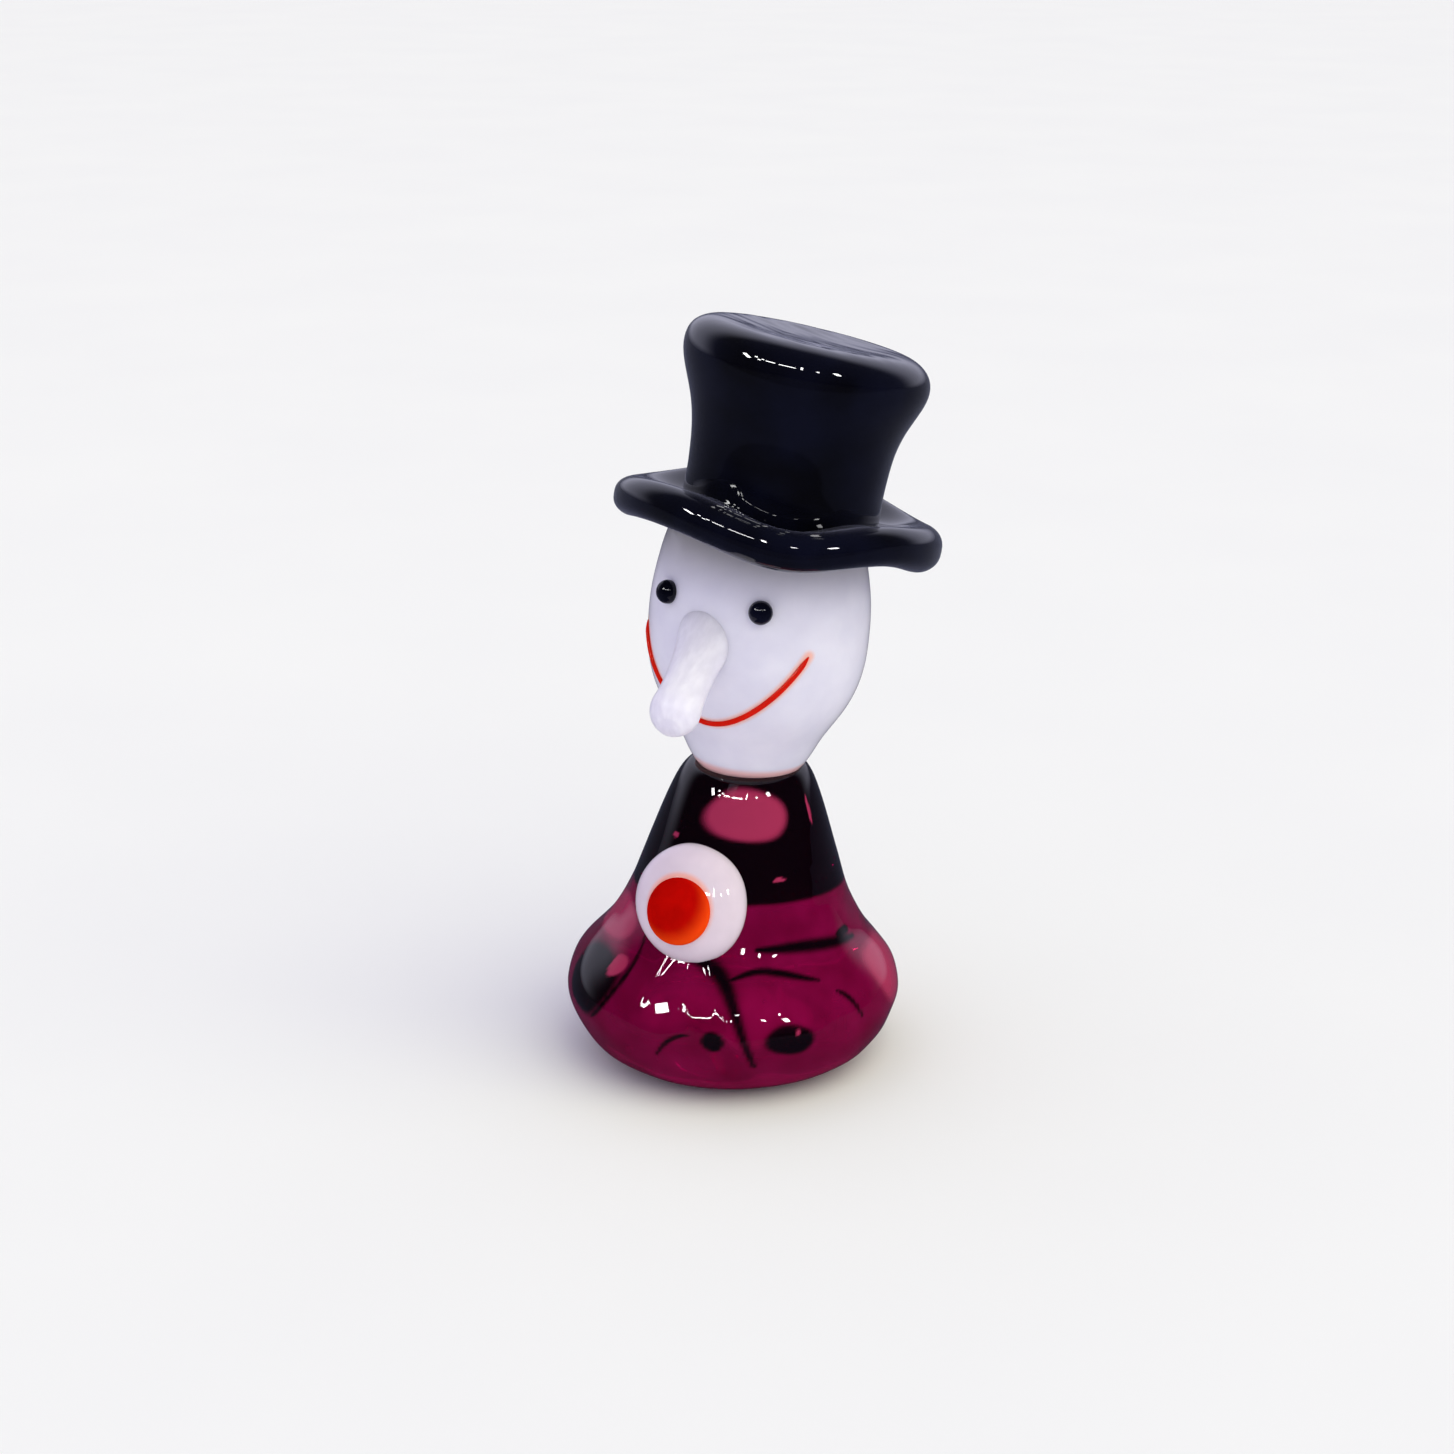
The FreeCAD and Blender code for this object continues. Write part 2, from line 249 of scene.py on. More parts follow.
def natural_spline(knots, values, where):
    """Natural cubic spline through (knots, values), read at the places in where."""
    knots = np.asarray(knots, float)
    values = np.asarray(values, float)
    gaps = np.diff(knots)
    size = len(knots)
    system = np.eye(size)
    right = np.zeros((size,) + values.shape[1:])
    for i in range(1, size - 1):
        system[i, i - 1:i + 2] = gaps[i - 1], 2 * (gaps[i - 1] + gaps[i]), gaps[i]
        right[i] = 6 * ((values[i + 1] - values[i]) / gaps[i] - (values[i] - values[i - 1]) / gaps[i - 1])
    bend = np.linalg.solve(system, right)
    where = np.clip(where, knots[0], knots[-1])
    i = np.clip(np.searchsorted(knots, where) - 1, 0, size - 2)
    gap = gaps[i]
    low = (knots[i + 1] - where) / gap
    high = (where - knots[i]) / gap
    square = gap ** 2 / 6
    if values.ndim > 1:
        low, high, square = low[:, None], high[:, None], square[:, None]
    return (low * values[i] + high * values[i + 1]
            + ((low ** 3 - low) * bend[i] + (high ** 3 - high) * bend[i + 1]) * square)


def smooth_line(points, count):
    """Evenly spaced points on a smooth curve through a few given ones."""
    points = np.asarray(points, float)
    length = np.r_[0, np.cumsum(np.linalg.norm(np.diff(points, axis=0), axis=1))]
    return natural_spline(length, points, np.linspace(0, length[-1], count))


def side_radius(side, height):
    """Radius of an outline at a height."""
    radii, heights = zip(*side)
    return float(natural_spline(heights, radii, np.array([height]))[0])


def soft_step(value, low, high):
    """Smooth rise from 0 at low to 1 at high."""
    part = np.clip((value - low) / (high - low), 0, 1)
    return part * part * (3 - 2 * part)


def angle_between(angle, start):
    """Signed angle from a starting one, between -pi and pi."""
    return (angle - start + math.pi) % TAU - math.pi


def mesh_object(name, points, faces, matrix):
    """Smooth closed mesh from points in millimetres, placed by a frame."""
    mesh = bpy.data.meshes.new(name)
    mesh.from_pydata([matrix @ (Vector(point) * MM) for point in points], [], faces)
    work = bmesh.new()
    work.from_mesh(mesh)
    bmesh.ops.recalc_face_normals(work, faces=work.faces)
    work.to_mesh(mesh)
    work.free()
    mesh.polygons.foreach_set("use_smooth", [True] * len(mesh.polygons))
    piece = bpy.data.objects.new(name, mesh)
    bpy.context.collection.objects.link(piece)
    return piece


def ring_faces(rows, around):
    """Quads between rings, and a fan at each end to a first and a last pole point."""
    faces = []
    for row in range(rows - 1):
        for i in range(around):
            j = (i + 1) % around
            faces.append((row * around + i, row * around + j, (row + 1) * around + j, (row + 1) * around + i))
    first = rows * around
    last = first + 1
    for i in range(around):
        j = (i + 1) % around
        faces.append((first, j, i))
        faces.append((last, (rows - 1) * around + i, (rows - 1) * around + j))
    return faces


def turned(name, side, rows, around, matrix=UPRIGHT, shape=None):
    """Closed turned form; shape(points, radius, angle) may push its points out of round."""
    line = smooth_line(side, rows)
    angle, radius = np.meshgrid(np.arange(around) / around * TAU, line[:, 0])
    height = np.repeat(line[:, 1:], around, 1)
    points = np.stack([radius * np.sin(angle), -radius * np.cos(angle), height], -1)
    if shape:
        points = shape(points, radius, angle)
    poles = [points[0].mean(0), points[-1].mean(0)]
    return mesh_object(name, np.vstack([points.reshape(-1, 3), poles]), ring_faces(rows, around), matrix)


def bead_side(radius, half_depth, pole_gap, count):
    """Outline of a ball squashed along its axis, open by a small angle at both poles."""
    turns = np.linspace(pole_gap, math.pi - pole_gap, count)
    return [(radius * math.sin(turn), -half_depth * math.cos(turn)) for turn in turns]


def tube(name, path, radii, around, matrix):
    """Closed tube along a path in millimetres, drawn to a point at both ends."""
    path = np.asarray(path)
    tangent = np.gradient(path, axis=0)
    tangent /= np.linalg.norm(tangent, axis=1)[:, None]
    side = np.cross(tangent, [0, 0, 1])
    side /= np.linalg.norm(side, axis=1)[:, None]
    up = np.cross(side, tangent)
    angle = np.arange(around) / around * TAU
    ring = side[:, None] * np.cos(angle)[:, None] + up[:, None] * np.sin(angle)[:, None]
    points = path[:, None] + ring * np.asarray(radii)[:, None, None]
    poles = [path[0], path[-1]]
    return mesh_object(name, np.vstack([points.reshape(-1, 3), poles]), ring_faces(len(path), around), matrix)


def vertex_points(piece):
    """Positions in metres of a piece's vertices."""
    points = np.empty(len(piece.data.vertices) * 3)
    piece.data.vertices.foreach_get("co", points)
    return points.reshape(-1, 3)


def store(piece, name, values):
    """Keeps one number per vertex, for a material to read."""
    attribute = piece.data.attributes.new(name, "FLOAT", "POINT")
    attribute.data.foreach_set("value", values)


def store_distance(piece, name, path, matrix):
    """Keeps each vertex's distance (mm) from a path, for the colour that bleeds beside it."""
    points = vertex_points(piece)
    near = np.full(len(points), np.inf)
    for spot in path:
        place = np.array(matrix @ (Vector(spot) * MM))
        near = np.minimum(near, np.linalg.norm(points - place, axis=1))
    store(piece, name, near / MM)


def store_height(piece, name, matrix):
    """Keeps each vertex's height (mm) in a frame."""
    back = matrix.inverted()
    store(piece, name, [(back @ vertex.co).z / MM for vertex in piece.data.vertices])


# ---- node helpers -------------------------------------------------------------------------------
class Nodes:
    """Short way to build one node tree."""

    def __init__(self, tree):
        self.tree = tree
        self.tree.nodes.clear()

    def add(self, kind, **settings):
        """New node with its settings."""
        node = self.tree.nodes.new(kind)
        for key, value in settings.items():
            setattr(node, key, value)
        return node

    def link(self, source, target):
        """Link between two sockets."""
        self.tree.links.new(source, target)

    def maths(self, operation, first, second):
        """Result of a sum on two sockets."""
        node = self.add("ShaderNodeMath", operation=operation)
        self.link(first, node.inputs[0])
        self.link(second, node.inputs[1])
        return node.outputs[0]

    def along(self, source, direction):
        """How far a vector reaches along a fixed direction."""
        node = self.add("ShaderNodeVectorMath", operation="DOT_PRODUCT")
        self.link(source, node.inputs[0])
        node.inputs[1].default_value = direction
        return node.outputs["Value"]

    def spread(self, source, low, high, to_low=0.0, to_high=1.0):
        """Smooth map of a value from one range to another."""
        remap = self.add("ShaderNodeMapRange", interpolation_type="SMOOTHSTEP")
        for key, value in zip(("From Min", "From Max", "To Min", "To Max"), (low, high, to_low, to_high)):
            remap.inputs[key].default_value = value
        self.link(source, remap.inputs["Value"])
        return remap.outputs["Result"]

    def mix(self, amount, first, second):
        """Mix of two colours, each a socket or a plain colour."""
        mix = self.add("ShaderNodeMix", data_type="RGBA")
        self.link(amount, mix.inputs["Factor"])
        for socket, value in ((mix.inputs[6], first), (mix.inputs[7], second)):
            if isinstance(value, tuple):
                socket.default_value = (*value, 1)
            else:
                self.link(value, socket)
        return mix.outputs[2]


class Glass(Nodes):
    """Node tree of one material around a Principled shader."""

    def __init__(self, name, **inputs):
        """Keyword names are the shader's socket names, with underscores."""
        self.material = bpy.data.materials.new(name)
        self.material.use_nodes = True
        super().__init__(self.material.node_tree)
        self.output = self.add("ShaderNodeOutputMaterial")
        self.coords = self.add("ShaderNodeTexCoord").outputs["Object"]
        self.shader = self.add("ShaderNodeBsdfPrincipled")
        for key, value in inputs.items():
            self.shader.inputs[key.replace("_", " ")].default_value = value
        self.link(self.shader.outputs[0], self.output.inputs["Surface"])

    def colour(self, source):
        """Sets the surface colour."""
        self.link(source, self.shader.inputs["Base Color"])

    def noise(self, size_mm, detail=3.0, stretch=(1, 1, 1)):
        """Noise with features of a given size."""
        mapping = self.add("ShaderNodeMapping")
        mapping.inputs["Scale"].default_value = stretch
        self.link(self.coords, mapping.inputs["Vector"])
        noise = self.add("ShaderNodeTexNoise")
        noise.inputs["Scale"].default_value = 1 / (size_mm * MM)
        noise.inputs["Detail"].default_value = detail
        self.link(mapping.outputs[0], noise.inputs["Vector"])
        return noise.outputs["Fac"]

    def ramp(self, source, *stops):
        """Colour ramp from two (place, colour) stops."""
        ramp = self.add("ShaderNodeValToRGB")
        for element, (place, colour) in zip(ramp.color_ramp.elements, stops):
            element.position = place
            element.color = (*colour, 1)
        self.link(source, ramp.inputs["Fac"])
        return ramp.outputs["Color"]

    def bump(self, source, height_mm):
        """Fine relief of a given height."""
        bump = self.add("ShaderNodeBump")
        bump.inputs["Distance"].default_value = height_mm * MM
        bump.inputs["Strength"].default_value = 1.0
        self.link(source, bump.inputs["Height"])
        self.link(bump.outputs[0], self.shader.inputs["Normal"])

    def attribute(self, name):
        """Number kept at the vertices."""
        return self.add("ShaderNodeAttribute", attribute_name=name).outputs["Fac"]


# ---- materials ----------------------------------------------------------------------------------
def amethyst_glass():
    """Magenta glass that soaks up green first, then blue, with painted pale and nearly black patches: painted
    light and painted shade for the floor and dark room that it refracts.
    """
    glass = Glass("amethyst_glass", Roughness=0.0, IOR=1.5, Transmission_Weight=0.58, Specular_IOR_Level=0.22)
    magenta = glass.ramp(glass.noise(2.6, 2.0), (0.3, (0.27, 0.001, 0.055)), (0.7, (0.42, 0.004, 0.10)))
    # painted shade: nearly black where the bell carries painted dark, for the dark room seen through the
    # glass
    dark = glass.mix(glass.attribute("painted_dark"), magenta, (0.006, 0.0012, 0.005))
    # painted light: pale pink where the bell carries painted pale, for the bright floor seen through the
    # glass
    glass.colour(glass.mix(glass.attribute("painted_pale"), dark, (0.95, 0.085, 0.24)))
    glass.bump(glass.noise(3.5, 1.0), 0.02)
    soak = glass.add("ShaderNodeVolumeAbsorption")
    soak.inputs["Color"].default_value = (0.80, 0.10, 0.50, 1)
    soak.inputs["Density"].default_value = 90
    glass.link(soak.outputs[0], glass.output.inputs["Volume"])
    return glass.material


def opal(name, roughness, gloss, glow, depth_mm, blue=0.9):
    """Milky glass, which light enters a little way."""
    return Glass(name, Roughness=roughness, IOR=1.5, Specular_IOR_Level=gloss, Subsurface_Weight=glow,
                 Subsurface_Scale=depth_mm * MM, Subsurface_Radius=(1, blue, blue))


def cloudy(glass, shade, light):
    """Faint cloudiness of opal glass."""
    return glass.ramp(glass.noise(2.5, 4.0), (0.35, shade), (0.65, light))


def head_glass():
    """Opal white: warm beside the red smile and at the neck, with painted shade greying it under the hat."""
    glass = opal("opal_white_head", 0.09, 0.2, 0.35, 1.2)
    height = glass.attribute("head_height")
    white = cloudy(glass, (0.76, 0.74, 0.87), (0.82, 0.80, 0.92))
    white = glass.mix(glass.spread(height, 0.3, 0.75, 0.75, 0.0), white, (0.95, 0.45, 0.42))
    # painted shade under the hat: greyer towards the top of the head
    white = glass.mix(glass.spread(height, 10.5, 15.0), white, (0.38, 0.365, 0.385))
    bleed = glass.spread(glass.attribute("near_smile"), 0.14, 0.5, 0.7, 0.0)
    glass.colour(glass.mix(bleed, white, (1.0, 0.42, 0.26)))
    glass.bump(glass.noise(1.8, 2.0), 0.006)
    return glass.material


def button_glass():
    """Opal white, with warm colour bleeding out of the red centre."""
    glass = opal("opal_white_button", 0.06, 0.5, 0.3, 1.0)
    white = cloudy(glass, (0.75, 0.64, 0.74), (0.82, 0.70, 0.80))
    bleed = glass.spread(glass.attribute("near_dot"), 0.05, 0.42, 0.8, 0.0)
    glass.colour(glass.mix(bleed, white, (1.0, 0.40, 0.30)))
    glass.bump(glass.noise(2.0, 1.0), 0.006)
    return glass.material


def nose_glass():
    """Milky alabaster rod, with fine streaks and tiny seeds."""
    glass = opal("alabaster_white", 0.3, 0.15, 0.4, 1.2, blue=0.95)
    streaks = glass.noise(0.4, 3.0, (1.0, 0.3, 0.5))
    glass.colour(glass.ramp(streaks, (0.36, (0.79, 0.76, 0.89)), (0.66, (0.87, 0.84, 0.975))))
    glass.bump(glass.noise(0.35, 3.0), 0.012)
    return glass.material


def black(name, gloss):
    """Dense fire-polished black with a trace of navy."""
    glass = Glass(name, Roughness=0.03, IOR=1.46, Specular_IOR_Level=gloss, Sheen_Weight=0.17,
                  Sheen_Roughness=0.35, Sheen_Tint=(0.74, 0.76, 1.0, 1))
    navy = glass.ramp(glass.noise(4.0, 2.0), (0.35, (0.0012, 0.0012, 0.003)), (0.65, (0.003, 0.0035, 0.011)))
    glass.colour(navy)
    return glass


def black_glass(name, gloss):
    """Black with the slow waver of hand-worked glass."""
    glass = black(name, gloss)
    glass.bump(glass.noise(3.0, 2.0), 0.02)
    return glass.material


def chilled_black_glass():
    """The crown's black, whose top carries long shallow chill marks."""
    glass = black("black_glass_crown", 0.5)
    marks = glass.noise(1.6, 2.0, (0.4, 1.6, 1.0))
    top = glass.spread(glass.attribute("crown_height"), 9.2, 9.7)
    glass.bump(glass.maths("MULTIPLY", marks, top), 0.012)
    return glass.material


def red_glass(name, centre, rim, reach, gloss):
    """Striking red, deep in the middle and orange where it thins out, at the distance reach."""
    glass = Glass(name, Roughness=0.05, IOR=1.5, Specular_IOR_Level=gloss, Subsurface_Weight=0.15,
                  Subsurface_Scale=0.6 * MM)
    lighter = tuple(part * 1.25 for part in centre)
    mottled = glass.ramp(glass.noise(0.9, 3.0), (0.3, centre), (0.7, lighter))
    thin = glass.spread(glass.attribute("from_middle"), reach * 0.55, reach)
    glass.colour(glass.mix(thin, mottled, rim))
    glass.bump(glass.noise(1.2, 1.0), 0.005)
    return glass.material


def paper():
    """Plain pale floor; polished glass mirrors it dim, and shows it dark beyond the sheet's end."""
    sheet = Glass("pale_floor", Roughness=0.9, IOR=1.3)
    white = sheet.ramp(sheet.noise(30, 2.0), (0.3, (0.90, 0.90, 0.905)), (0.7, (0.915, 0.915, 0.915)))
    forward = sheet.along(sheet.coords, view_heading(0))
    beyond = sheet.spread(forward, SHEET_END * MM, (SHEET_END + SHEET_FADE) * MM)
    ray = sheet.add("ShaderNodeLightPath").outputs
    hidden = sheet.maths("MULTIPLY", beyond, ray["Is Transmission Ray"])
    lit = sheet.mix(hidden, white, (0.02, 0.02, 0.025))
    dim = sheet.mix(beyond, (0.045, 0.05, 0.09), (0.01, 0.01, 0.015))
    sheet.colour(sheet.mix(ray["Is Glossy Ray"], lit, dim))
    return sheet.material


# ---- shared by the pieces -----------------------------------------------------------------------
def finish_piece(piece, material, slot, *nodes):
    """Gives a piece its material, hangs it on the body and hides the CAD nodes that it stands for."""
    piece.data.materials.append(material)
    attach(piece, BODY)
    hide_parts(*nodes)


def aside(points):
    """Distance of each point from the Z axis along the lean heading."""
    return points[..., 0] * math.cos(LEAN_HEADING) + points[..., 1] * math.sin(LEAN_HEADING)


# ---- bell ---------------------------------------------------------------------------------------
def bell_sway(height):
    """Shift in X and Y of the bell's axis at a height."""
    reach = np.maximum(height, BELLY_HEIGHT) * math.tan(BELL_LEAN)
    return math.cos(LEAN_HEADING) * reach, math.sin(LEAN_HEADING) * reach


def route_gap(route, angle, height, radius):
    """Distance (mm) to a smooth route over the bell, and the part of its length at that place."""
    gap = np.full(np.shape(height), np.inf)
    place = np.zeros(np.shape(height))
    for index, (route_angle, route_height) in enumerate(smooth_line(route, ROUTE_POINTS)):
        across = angle_between(angle, math.radians(route_angle)) * radius
        reach = np.hypot(across, height - route_height)
        place = np.where(reach < gap, index / (ROUTE_POINTS - 1), place)
        gap = np.minimum(gap, reach)
    return gap, place


def bell_relief(angle, height, radius):
    """How far the surface stands out: soft dents on the flank, and the ridges."""
    dents = -DENTS_INSET
    for depth, waves, turn, phase in DENTS:
        dents = dents + depth * np.sin(waves * angle + turn * height + phase)
    relief = dents * np.clip(height / FLANK_START, 0, 1) * np.clip((FLANK_END - height) / FLANK_FADE, 0, 1)
    for half_width, rise, *route in RIDGES:
        gap, part = route_gap(route, angle, height, radius)
        relief = relief + rise * np.sin(math.pi * part) ** 0.5 * np.exp(-(gap / half_width) ** 2)
    return relief


def bell_shape(points, radius, angle):
    """The bell keeps dents and ridges, a wavy ground foot, a drooping belly and a leaning axis."""
    height = points[..., 2].copy()
    points[..., :2] *= (1 + bell_relief(angle, height, radius) / np.maximum(radius, 1))[..., None]
    foot = np.clip((FOOT_RADIUS - radius) / FOOT_FADE, 0, 1) * (height < 1)
    wave = np.sin(1.3 * points[..., 0] + 0.7 * points[..., 1])
    points[..., 2] += foot * (FOOT_HOLLOW + FOOT_WAVE * wave)
    sway_x, sway_y = bell_sway(points[..., 2])
    points[..., 2] -= aside(points) * BELLY_DROOP * np.clip(points[..., 2] / 4, 0, 1)
    points[..., 0] += sway_x
    points[..., 1] += sway_y
    return points


def add_bubbles(piece):
    """Small air bubbles: round shells turned inside out within the glass."""
    work = bmesh.new()
    work.from_mesh(piece.data)
    for angle, height, depth, size in BUBBLES:
        reach = side_radius(BELL_SIDE[FOOT_POINTS:], height) - depth
        turn = math.radians(angle)
        sway_x, sway_y = bell_sway(height)
        place = Vector((reach * math.sin(turn) + sway_x, -reach * math.cos(turn) + sway_y, height)) * MM
        made = bmesh.ops.create_icosphere(work, subdivisions=3, radius=size * MM,
                                          matrix=Matrix.Translation(place))
        faces = {face for vertex in made["verts"] for face in vertex.link_faces}
        bmesh.ops.reverse_faces(work, faces=list(faces))
        for face in faces:
            face.smooth = True
    work.to_mesh(piece.data)
    work.free()


def painted_pool_depth(pools, angle, height, radius):
    """How far inside the nearest painted pool of light or shade a point is, from 0 to 1."""
    depth = np.zeros_like(height)
    for pool_angle, pool_height, half_width, half_height in pools:
        across = angle_between(angle, math.radians(pool_angle)) * radius / half_width
        wobble = 1 + 0.12 * np.sin(3 * across + height)
        reach = np.hypot(across, (height - pool_height) / half_height) * wobble
        depth = np.maximum(depth, 1 - soft_step(reach, 0.78, 1.08))
    return depth


def painted_streak_depth(angle, height, radius):
    """How near a point is to the middle of a painted dark streak, from 0 to 1."""
    depth = np.zeros_like(height)
    for half_width, *route in PAINTED_DARK_STREAKS:
        gap, part = route_gap(route, angle, height, radius)
        width = half_width * (0.4 + 0.8 * np.sin(math.pi * part) ** 0.8)
        depth = np.maximum(depth, 1 - soft_step(gap, width * 0.35, width * 1.35))
    return depth


def paint_bell_light_and_shade(bell):
    """Keeps at each vertex how much painted shade and painted light the glass gets, for the dark room and
    bright floor that it refracts.
    """
    points = vertex_points(bell) / MM
    height = points[:, 2]
    sway_x, sway_y = bell_sway(height)
    x = points[:, 0] - sway_x
    y = points[:, 1] - sway_y
    angle, radius = np.arctan2(x, -y), np.hypot(x, y)
    # painted light: the pale pools
    painted_pale = painted_pool_depth(PAINTED_PALE_POOLS, angle, height, radius)
    edge = PAINTED_DARK_SHOULDER + SHOULDER_WAVE * np.sin(2 * angle + 0.5)
    # painted shade: the dark shoulder, dark pools and dark streaks
    painted_dark = soft_step(height, edge - SHOULDER_SOFTNESS, edge + SHOULDER_SOFTNESS)
    painted_dark = np.maximum(painted_dark, painted_pool_depth(PAINTED_DARK_POOLS, angle, height, radius))
    painted_dark = np.maximum(painted_dark, painted_streak_depth(angle, height, radius))
    store(bell, "painted_dark", painted_dark * (1 - painted_pale))
    store(bell, "painted_pale", painted_pale * PAINTED_PALEST)


def make_bell():
    """Amethyst bell with its bubbles."""
    bell = turned("bell_glass", BELL_SIDE, rows=230, around=300, shape=bell_shape)
    add_bubbles(bell)
    paint_bell_light_and_shade(bell)
    finish_piece(bell, amethyst_glass(), "amethyst_glass", "body")


# ---- head ---------------------------------------------------------------------------------------
def head_skin(angle, height, lift=0.0):
    """Point on the head, in its own frame."""
    radius = side_radius(HEAD_SIDE, height) + lift
    return np.array([radius * math.sin(angle), -radius * math.cos(angle), height])


def smile_path(lift=0.0):
    """The smile's line on the head: low in the middle, rising to both ends."""
    path = []
    for part in np.linspace(-1, 1, SMILE_POINTS):
        path.append(head_skin(GAZE + part * SMILE_HALF_ANGLE, SMILE_LOW + SMILE_RISE * part ** 2, lift))
    return np.array(path)


def make_head():
    """Opal egg, widest at eye level."""
    head = turned("egg_head", HEAD_SIDE, rows=150, around=240, matrix=HEAD_FRAME)
    store_distance(head, "near_smile", smile_path(), HEAD_FRAME)
    store_height(head, "head_height", HEAD_FRAME)
    finish_piece(head, head_glass(), "white_glass", "head")


def make_smile():
    """Fine red thread, drawn out at both ends."""
    to_end = 1 - np.abs(np.linspace(-1, 1, SMILE_POINTS))
    radii = SMILE_RADIUS * np.clip(to_end / SMILE_TAPER, 0.05, 1) ** 0.5
    path = smile_path(SMILE_PROUD)
    smile = tube("smile_thread", path, radii, around=14, matrix=HEAD_FRAME)
    store_distance(smile, "from_middle", path, HEAD_FRAME)
    red = red_glass("red_thread", (0.60, 0.010, 0.004), (0.72, 0.02, 0.006), 0.25, 0.1)
    finish_piece(smile, red, "red_glass", "smile")


def make_eyes():
    """Two black beads."""
    material = black_glass("black_glass_eye", 0.25)
    side = bead_side(EYE_RADIUS, EYE_HALF_DEPTH, pole_gap=0.12, count=12)
    for name, node, sign in (("eye_bead_left", "left_eye", 1), ("eye_bead_right", "right_eye", -1)):
        angle = GAZE + sign * EYE_SPREAD
        centre = head_skin(angle, EYE_HEIGHT, EYE_PROUD)
        outward = (math.sin(angle), -math.cos(angle), EYE_UPTURN)
        eye = turned(name, side, rows=40, around=48, matrix=HEAD_FRAME @ facing_matrix(centre, outward))
        finish_piece(eye, material, "black_glass", node)


def nose_shape(points, radius, angle):
    """The rod bows a little between its root and its tip."""
    along = np.clip(points[..., 2] / NOSE_LENGTH, 0, 1.3)
    points[..., 1] += NOSE_SAG * (along - along ** 2)
    return points


def make_nose():
    """Long drooping rod with a round tip."""
    level = math.cos(NOSE_DROOP)
    direction = (math.sin(NOSE_TURN) * level, -math.cos(NOSE_TURN) * level, -math.sin(NOSE_DROOP))
    nose_frame = HEAD_FRAME @ facing_matrix(head_skin(NOSE_ANGLE, NOSE_HEIGHT), direction)
    nose = turned("nose_rod", NOSE_SIDE, rows=110, around=72, matrix=nose_frame, shape=nose_shape)
    finish_piece(nose, nose_glass(), "nose_glass", "nose")


# ---- hat ----------------------------------------------------------------------------------------
def brim_lift(angle):
    """Height of the brim's wavy middle, with its sags; the angle runs from the lean heading."""
    lift = -BRIM_DROP - BRIM_SADDLE * math.cos(2 * angle) - BRIM_RIPPLE * math.sin(3 * angle)
    for place, width, depth in BRIM_SAGS:
        beside = angle_between(angle, math.radians(place)) / math.radians(width)
        lift -= depth * math.exp(-beside ** 2)
    return lift


def brim_section(angle, across):
    """Points around the brim's section at an angle: a web with a fat round edge, uneven by hand."""
    lobe = math.exp(-angle_between(angle, LOBE_ANGLE) ** 2 / LOBE_SPREAD)
    swell = 1 + 0.06 * math.sin(angle - 0.9) + 0.04 * math.sin(3 * angle + 0.5) + LOBE_SWELL * lobe
    reach = 1 + 0.012 * math.sin(2 * angle + 0.7)
    heading = angle + LEAN_HEADING
    points = []
    for spot in range(across):
        turn = spot / across * TAU
        out = math.cos(turn)
        half = (BRIM_WEB + BRIM_ROLL * soft_step(out, -0.3, 0.8)) * swell
        up = math.copysign(abs(math.sin(turn)) ** BRIM_SQUARENESS, math.sin(turn))
        radius = (BRIM_MIDDLE + BRIM_HALF_WIDTH * out) * reach
        points.append((radius * math.cos(heading), radius * math.sin(heading), brim_lift(angle) + half * up))
    return points


def make_brim():
    """Rolled wavy ring."""
    around, across = 224, 56
    points = []
    faces = []
    for step in range(around):
        points += brim_section(step / around * TAU, across)
        following = (step + 1) % around
        for spot in range(across):
            beside = (spot + 1) % across
            faces.append((step * across + spot, following * across + spot,
                          following * across + beside, step * across + beside))
    brim = mesh_object("brim_glass", points, faces, HAT_FRAME)
    finish_piece(brim, black_glass("black_glass_brim", 0.5), "black_glass", "hat_brim")


def crown_shape(points, radius, angle):
    """The crown's rim is a little uneven, and its top slopes and keeps soft chill waves."""
    height = points[..., 2]
    upper = np.clip((height - 4) / 5, 0, 1)
    points[..., :2] *= (1 + CROWN_UNEVEN * upper * np.sin(3 * angle + 1.0))[..., None]
    top = np.clip((height - 9.0) / 0.6, 0, 1) * np.clip((6.2 - radius) / 1.5, 0, 1)
    across = points[..., 0] * 0.35 + points[..., 1]
    waves = 0
    for rise, turn, wander, wander_turn, phase in CHILL_WAVES:
        waves = waves + rise * np.sin(across * turn + wander * np.sin(points[..., 0] * wander_turn + phase))
    points[..., 2] += waves * top - CROWN_SLANT * (aside(points) + 2.5) * upper
    return points


def make_crown():
    """Flared crown with a rounded rim."""
    crown = turned("crown_glass", CROWN_SIDE, rows=190, around=224, matrix=HAT_FRAME, shape=crown_shape)
    store_height(crown, "crown_height", HAT_FRAME)
    finish_piece(crown, chilled_black_glass(), "black_glass", "hat_crown")


# ---- button -------------------------------------------------------------------------------------
def button_shape(points, radius, angle):
    """The button is a little out of round."""
    points[..., :2] *= (1 + 0.02 * np.sin(2 * angle + 0.4) + 0.012 * np.sin(3 * angle))[..., None]
    return points


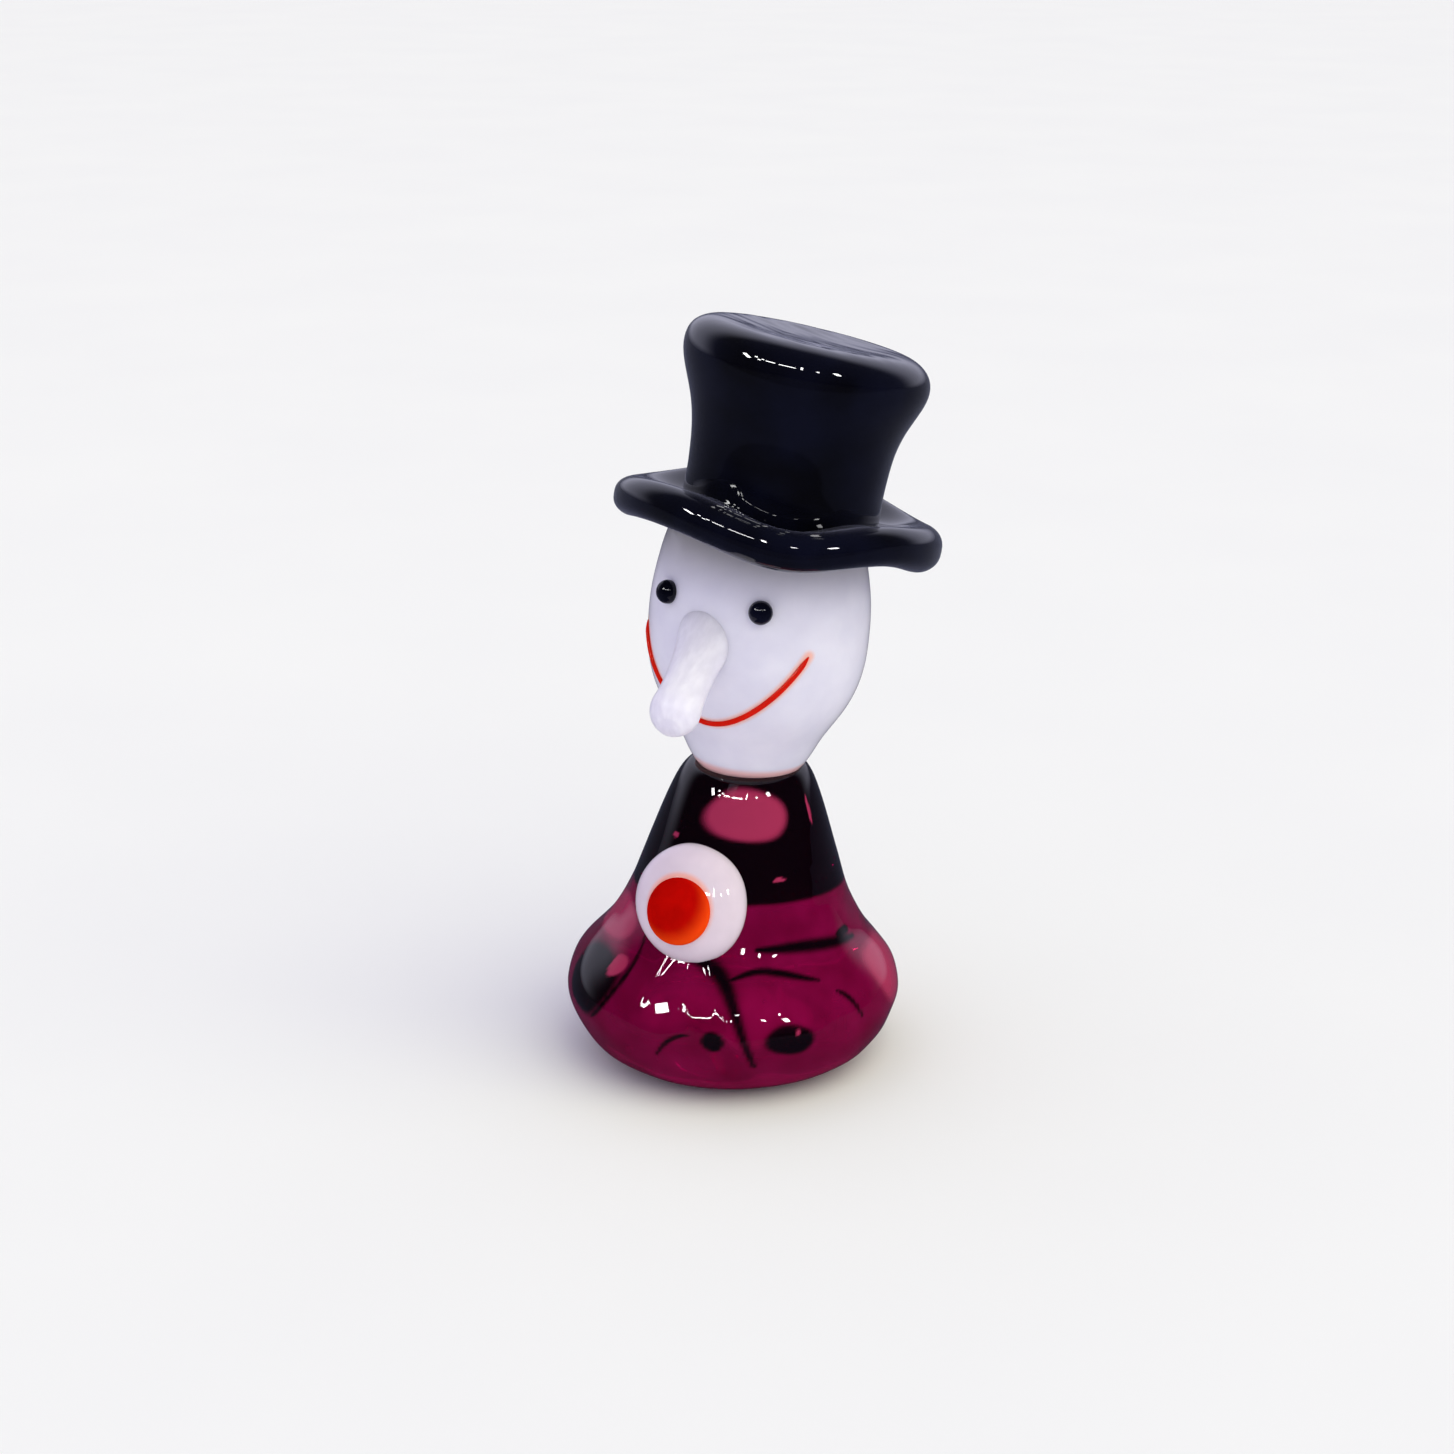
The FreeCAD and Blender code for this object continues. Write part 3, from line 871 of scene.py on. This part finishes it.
def make_button():
    """Domed white bead with a red bead pressed into it."""
    direction = Vector((0, -math.cos(BUTTON_TILT), math.sin(BUTTON_TILT)))
    down = Vector((0, -math.sin(BUTTON_TILT), -math.cos(BUTTON_TILT)))
    dot_frame = facing_matrix(BUTTON_MIDDLE + direction * DOT_OUT + down * DOT_DROP, direction)
    side = bead_side(BUTTON_RADIUS, BUTTON_HALF_DEPTH, pole_gap=0.08, count=20)
    button = turned("button_dome", side, rows=90, around=120,
                    matrix=facing_matrix(BUTTON_MIDDLE, direction), shape=button_shape)
    rim = [(DOT_RADIUS * math.cos(turn), DOT_RADIUS * math.sin(turn), DOT_RIM_HEIGHT)
           for turn in np.linspace(0, TAU, 90)]
    store_distance(button, "near_dot", rim, dot_frame)
    finish_piece(button, button_glass(), "white_glass", "button")
    dot_side = bead_side(DOT_RADIUS, DOT_HALF_DEPTH, pole_gap=0.08, count=18)
    dot = turned("button_dot", dot_side, rows=60, around=96, matrix=dot_frame)
    store_distance(dot, "from_middle", [DOT_DEEPEST], dot_frame)
    red = red_glass("red_dot", (0.42, 0.002, 0.001), (0.95, 0.07, 0.006), 2.8, 0.0)
    finish_piece(dot, red, "red_glass", "button_centre")


# ---- stage, light and camera --------------------------------------------------------------------
def view_heading(turn):
    """Level unit vector towards the camera, turned to the image's right by an angle in degrees."""
    angle = VIEW_AZIMUTH + math.radians(turn)
    return Vector((math.sin(angle), -math.cos(angle), 0))


def make_floor():
    """Wide white sheet."""
    reach = FLOOR_REACH * MM
    corners = [(-reach, -reach, 0), (reach, -reach, 0), (reach, reach, 0), (-reach, reach, 0)]
    mesh = bpy.data.meshes.new("floor")
    mesh.from_pydata(corners, [], [(0, 1, 2, 3)])
    floor = bpy.data.objects.new("floor", mesh)
    bpy.context.collection.objects.link(floor)
    mesh.materials.append(paper())


def make_world():
    """Even white light, but a dark room in front for what the glass mirrors and refracts."""
    world = bpy.data.worlds.new("studio")
    world.use_nodes = True
    bpy.context.scene.world = world
    nodes = Nodes(world.node_tree)
    direction = nodes.add("ShaderNodeTexCoord").outputs["Generated"]
    ray = nodes.add("ShaderNodeLightPath").outputs
    dark_middle = (view_heading(DARK_TURN) + Vector((0, 0, DARK_SLOPE))).normalized()
    toward_dark = nodes.along(direction, dark_middle)
    dark = nodes.spread(toward_dark, math.cos(DARK_OUTER), math.cos(DARK_INNER), 1.0, DARK_ROOM)
    plain = nodes.maths("MAXIMUM", ray["Is Camera Ray"], ray["Is Diffuse Ray"])
    rise = nodes.along(direction, (0, 0, 1))
    mirrored = nodes.mix(nodes.spread(rise, *HORIZON), FLOOR_LINE, MIRRORED)
    colour = nodes.mix(ray["Is Diffuse Ray"], PLAIN_WHITE, SKY)
    colour = nodes.mix(ray["Is Glossy Ray"], colour, mirrored)
    background = nodes.add("ShaderNodeBackground")
    nodes.link(colour, background.inputs["Color"])
    nodes.link(nodes.maths("MAXIMUM", dark, plain), background.inputs["Strength"])
    output = nodes.add("ShaderNodeOutputWorld")
    nodes.link(background.outputs[0], output.inputs["Surface"])


def make_lamps():
    """A row of small bright room lamps, seen only as crisp marks on the glass."""
    distance = LAMP_DISTANCE * MM
    for index, (turn, rise, width, height, roll) in enumerate(LAMPS):
        angle = math.radians(rise)
        outward = view_heading(turn) * math.cos(angle) + Vector((0, 0, math.sin(angle)))
        light = bpy.data.lights.new(f"lamp_{index}", "AREA")
        light.shape = "RECTANGLE"
        light.size = math.radians(width) * distance
        light.size_y = math.radians(height) * distance
        light.energy = LAMP_RADIANCE * math.pi * light.size * light.size_y
        lamp = bpy.data.objects.new(f"lamp_{index}", light)
        lamp.visible_diffuse = False
        lamp.matrix_world = (Matrix.Translation(outward * distance + Vector((0, 0, LAMP_CENTRE * MM)))
                             @ outward.to_track_quat("Z", "Y").to_matrix().to_4x4()
                             @ Matrix.Rotation(math.radians(roll), 4, "Z"))
        bpy.context.collection.objects.link(lamp)


def make_key():
    """Very soft key from the right front, for the pale shadow on the left."""
    light = bpy.data.lights.new("key", "SUN")
    light.angle = KEY_SOFTNESS
    light.energy = KEY_ENERGY
    light.color = KEY_COLOUR
    key = bpy.data.objects.new("key", light)
    toward = view_heading(KEY_TURN) + Vector((0, 0, KEY_SLOPE))
    key.matrix_world = toward.to_track_quat("Z", "Y").to_matrix().to_4x4()
    key.visible_glossy = False
    key.visible_transmission = False
    bpy.context.collection.objects.link(key)


def make_camera():
    """Camera above and in front of the figurine."""
    data = bpy.data.cameras.new("camera")
    data.sensor_width = 36
    data.lens = VIEW_LENS
    data.clip_start = 0.01
    camera = bpy.data.objects.new("camera", data)
    place = (view_heading(0) * VIEW_DISTANCE + Vector((0, 0, VIEW_HEIGHT))) * MM
    target = (view_heading(90) * AIM_SIDE + Vector((0, 0, AIM_HEIGHT))) * MM
    turn = (place - target).to_track_quat("Z", "Y").to_matrix().to_4x4()
    camera.matrix_world = Matrix.Translation(place) @ turn
    bpy.context.collection.objects.link(camera)
    bpy.context.scene.camera = camera


def set_looks():
    """Plain tone curve, and enough bounces for light to cross the thick glass."""
    scene = bpy.context.scene
    scene.view_settings.view_transform = "Standard"
    scene.cycles.max_bounces = 16
    scene.cycles.transmission_bounces = 14
    scene.cycles.glossy_bounces = 8


make_bell()
make_head()
make_smile()
make_eyes()
make_nose()
make_brim()
make_crown()
make_button()
make_floor()
make_world()
make_lamps()
make_key()
make_camera()
set_looks()
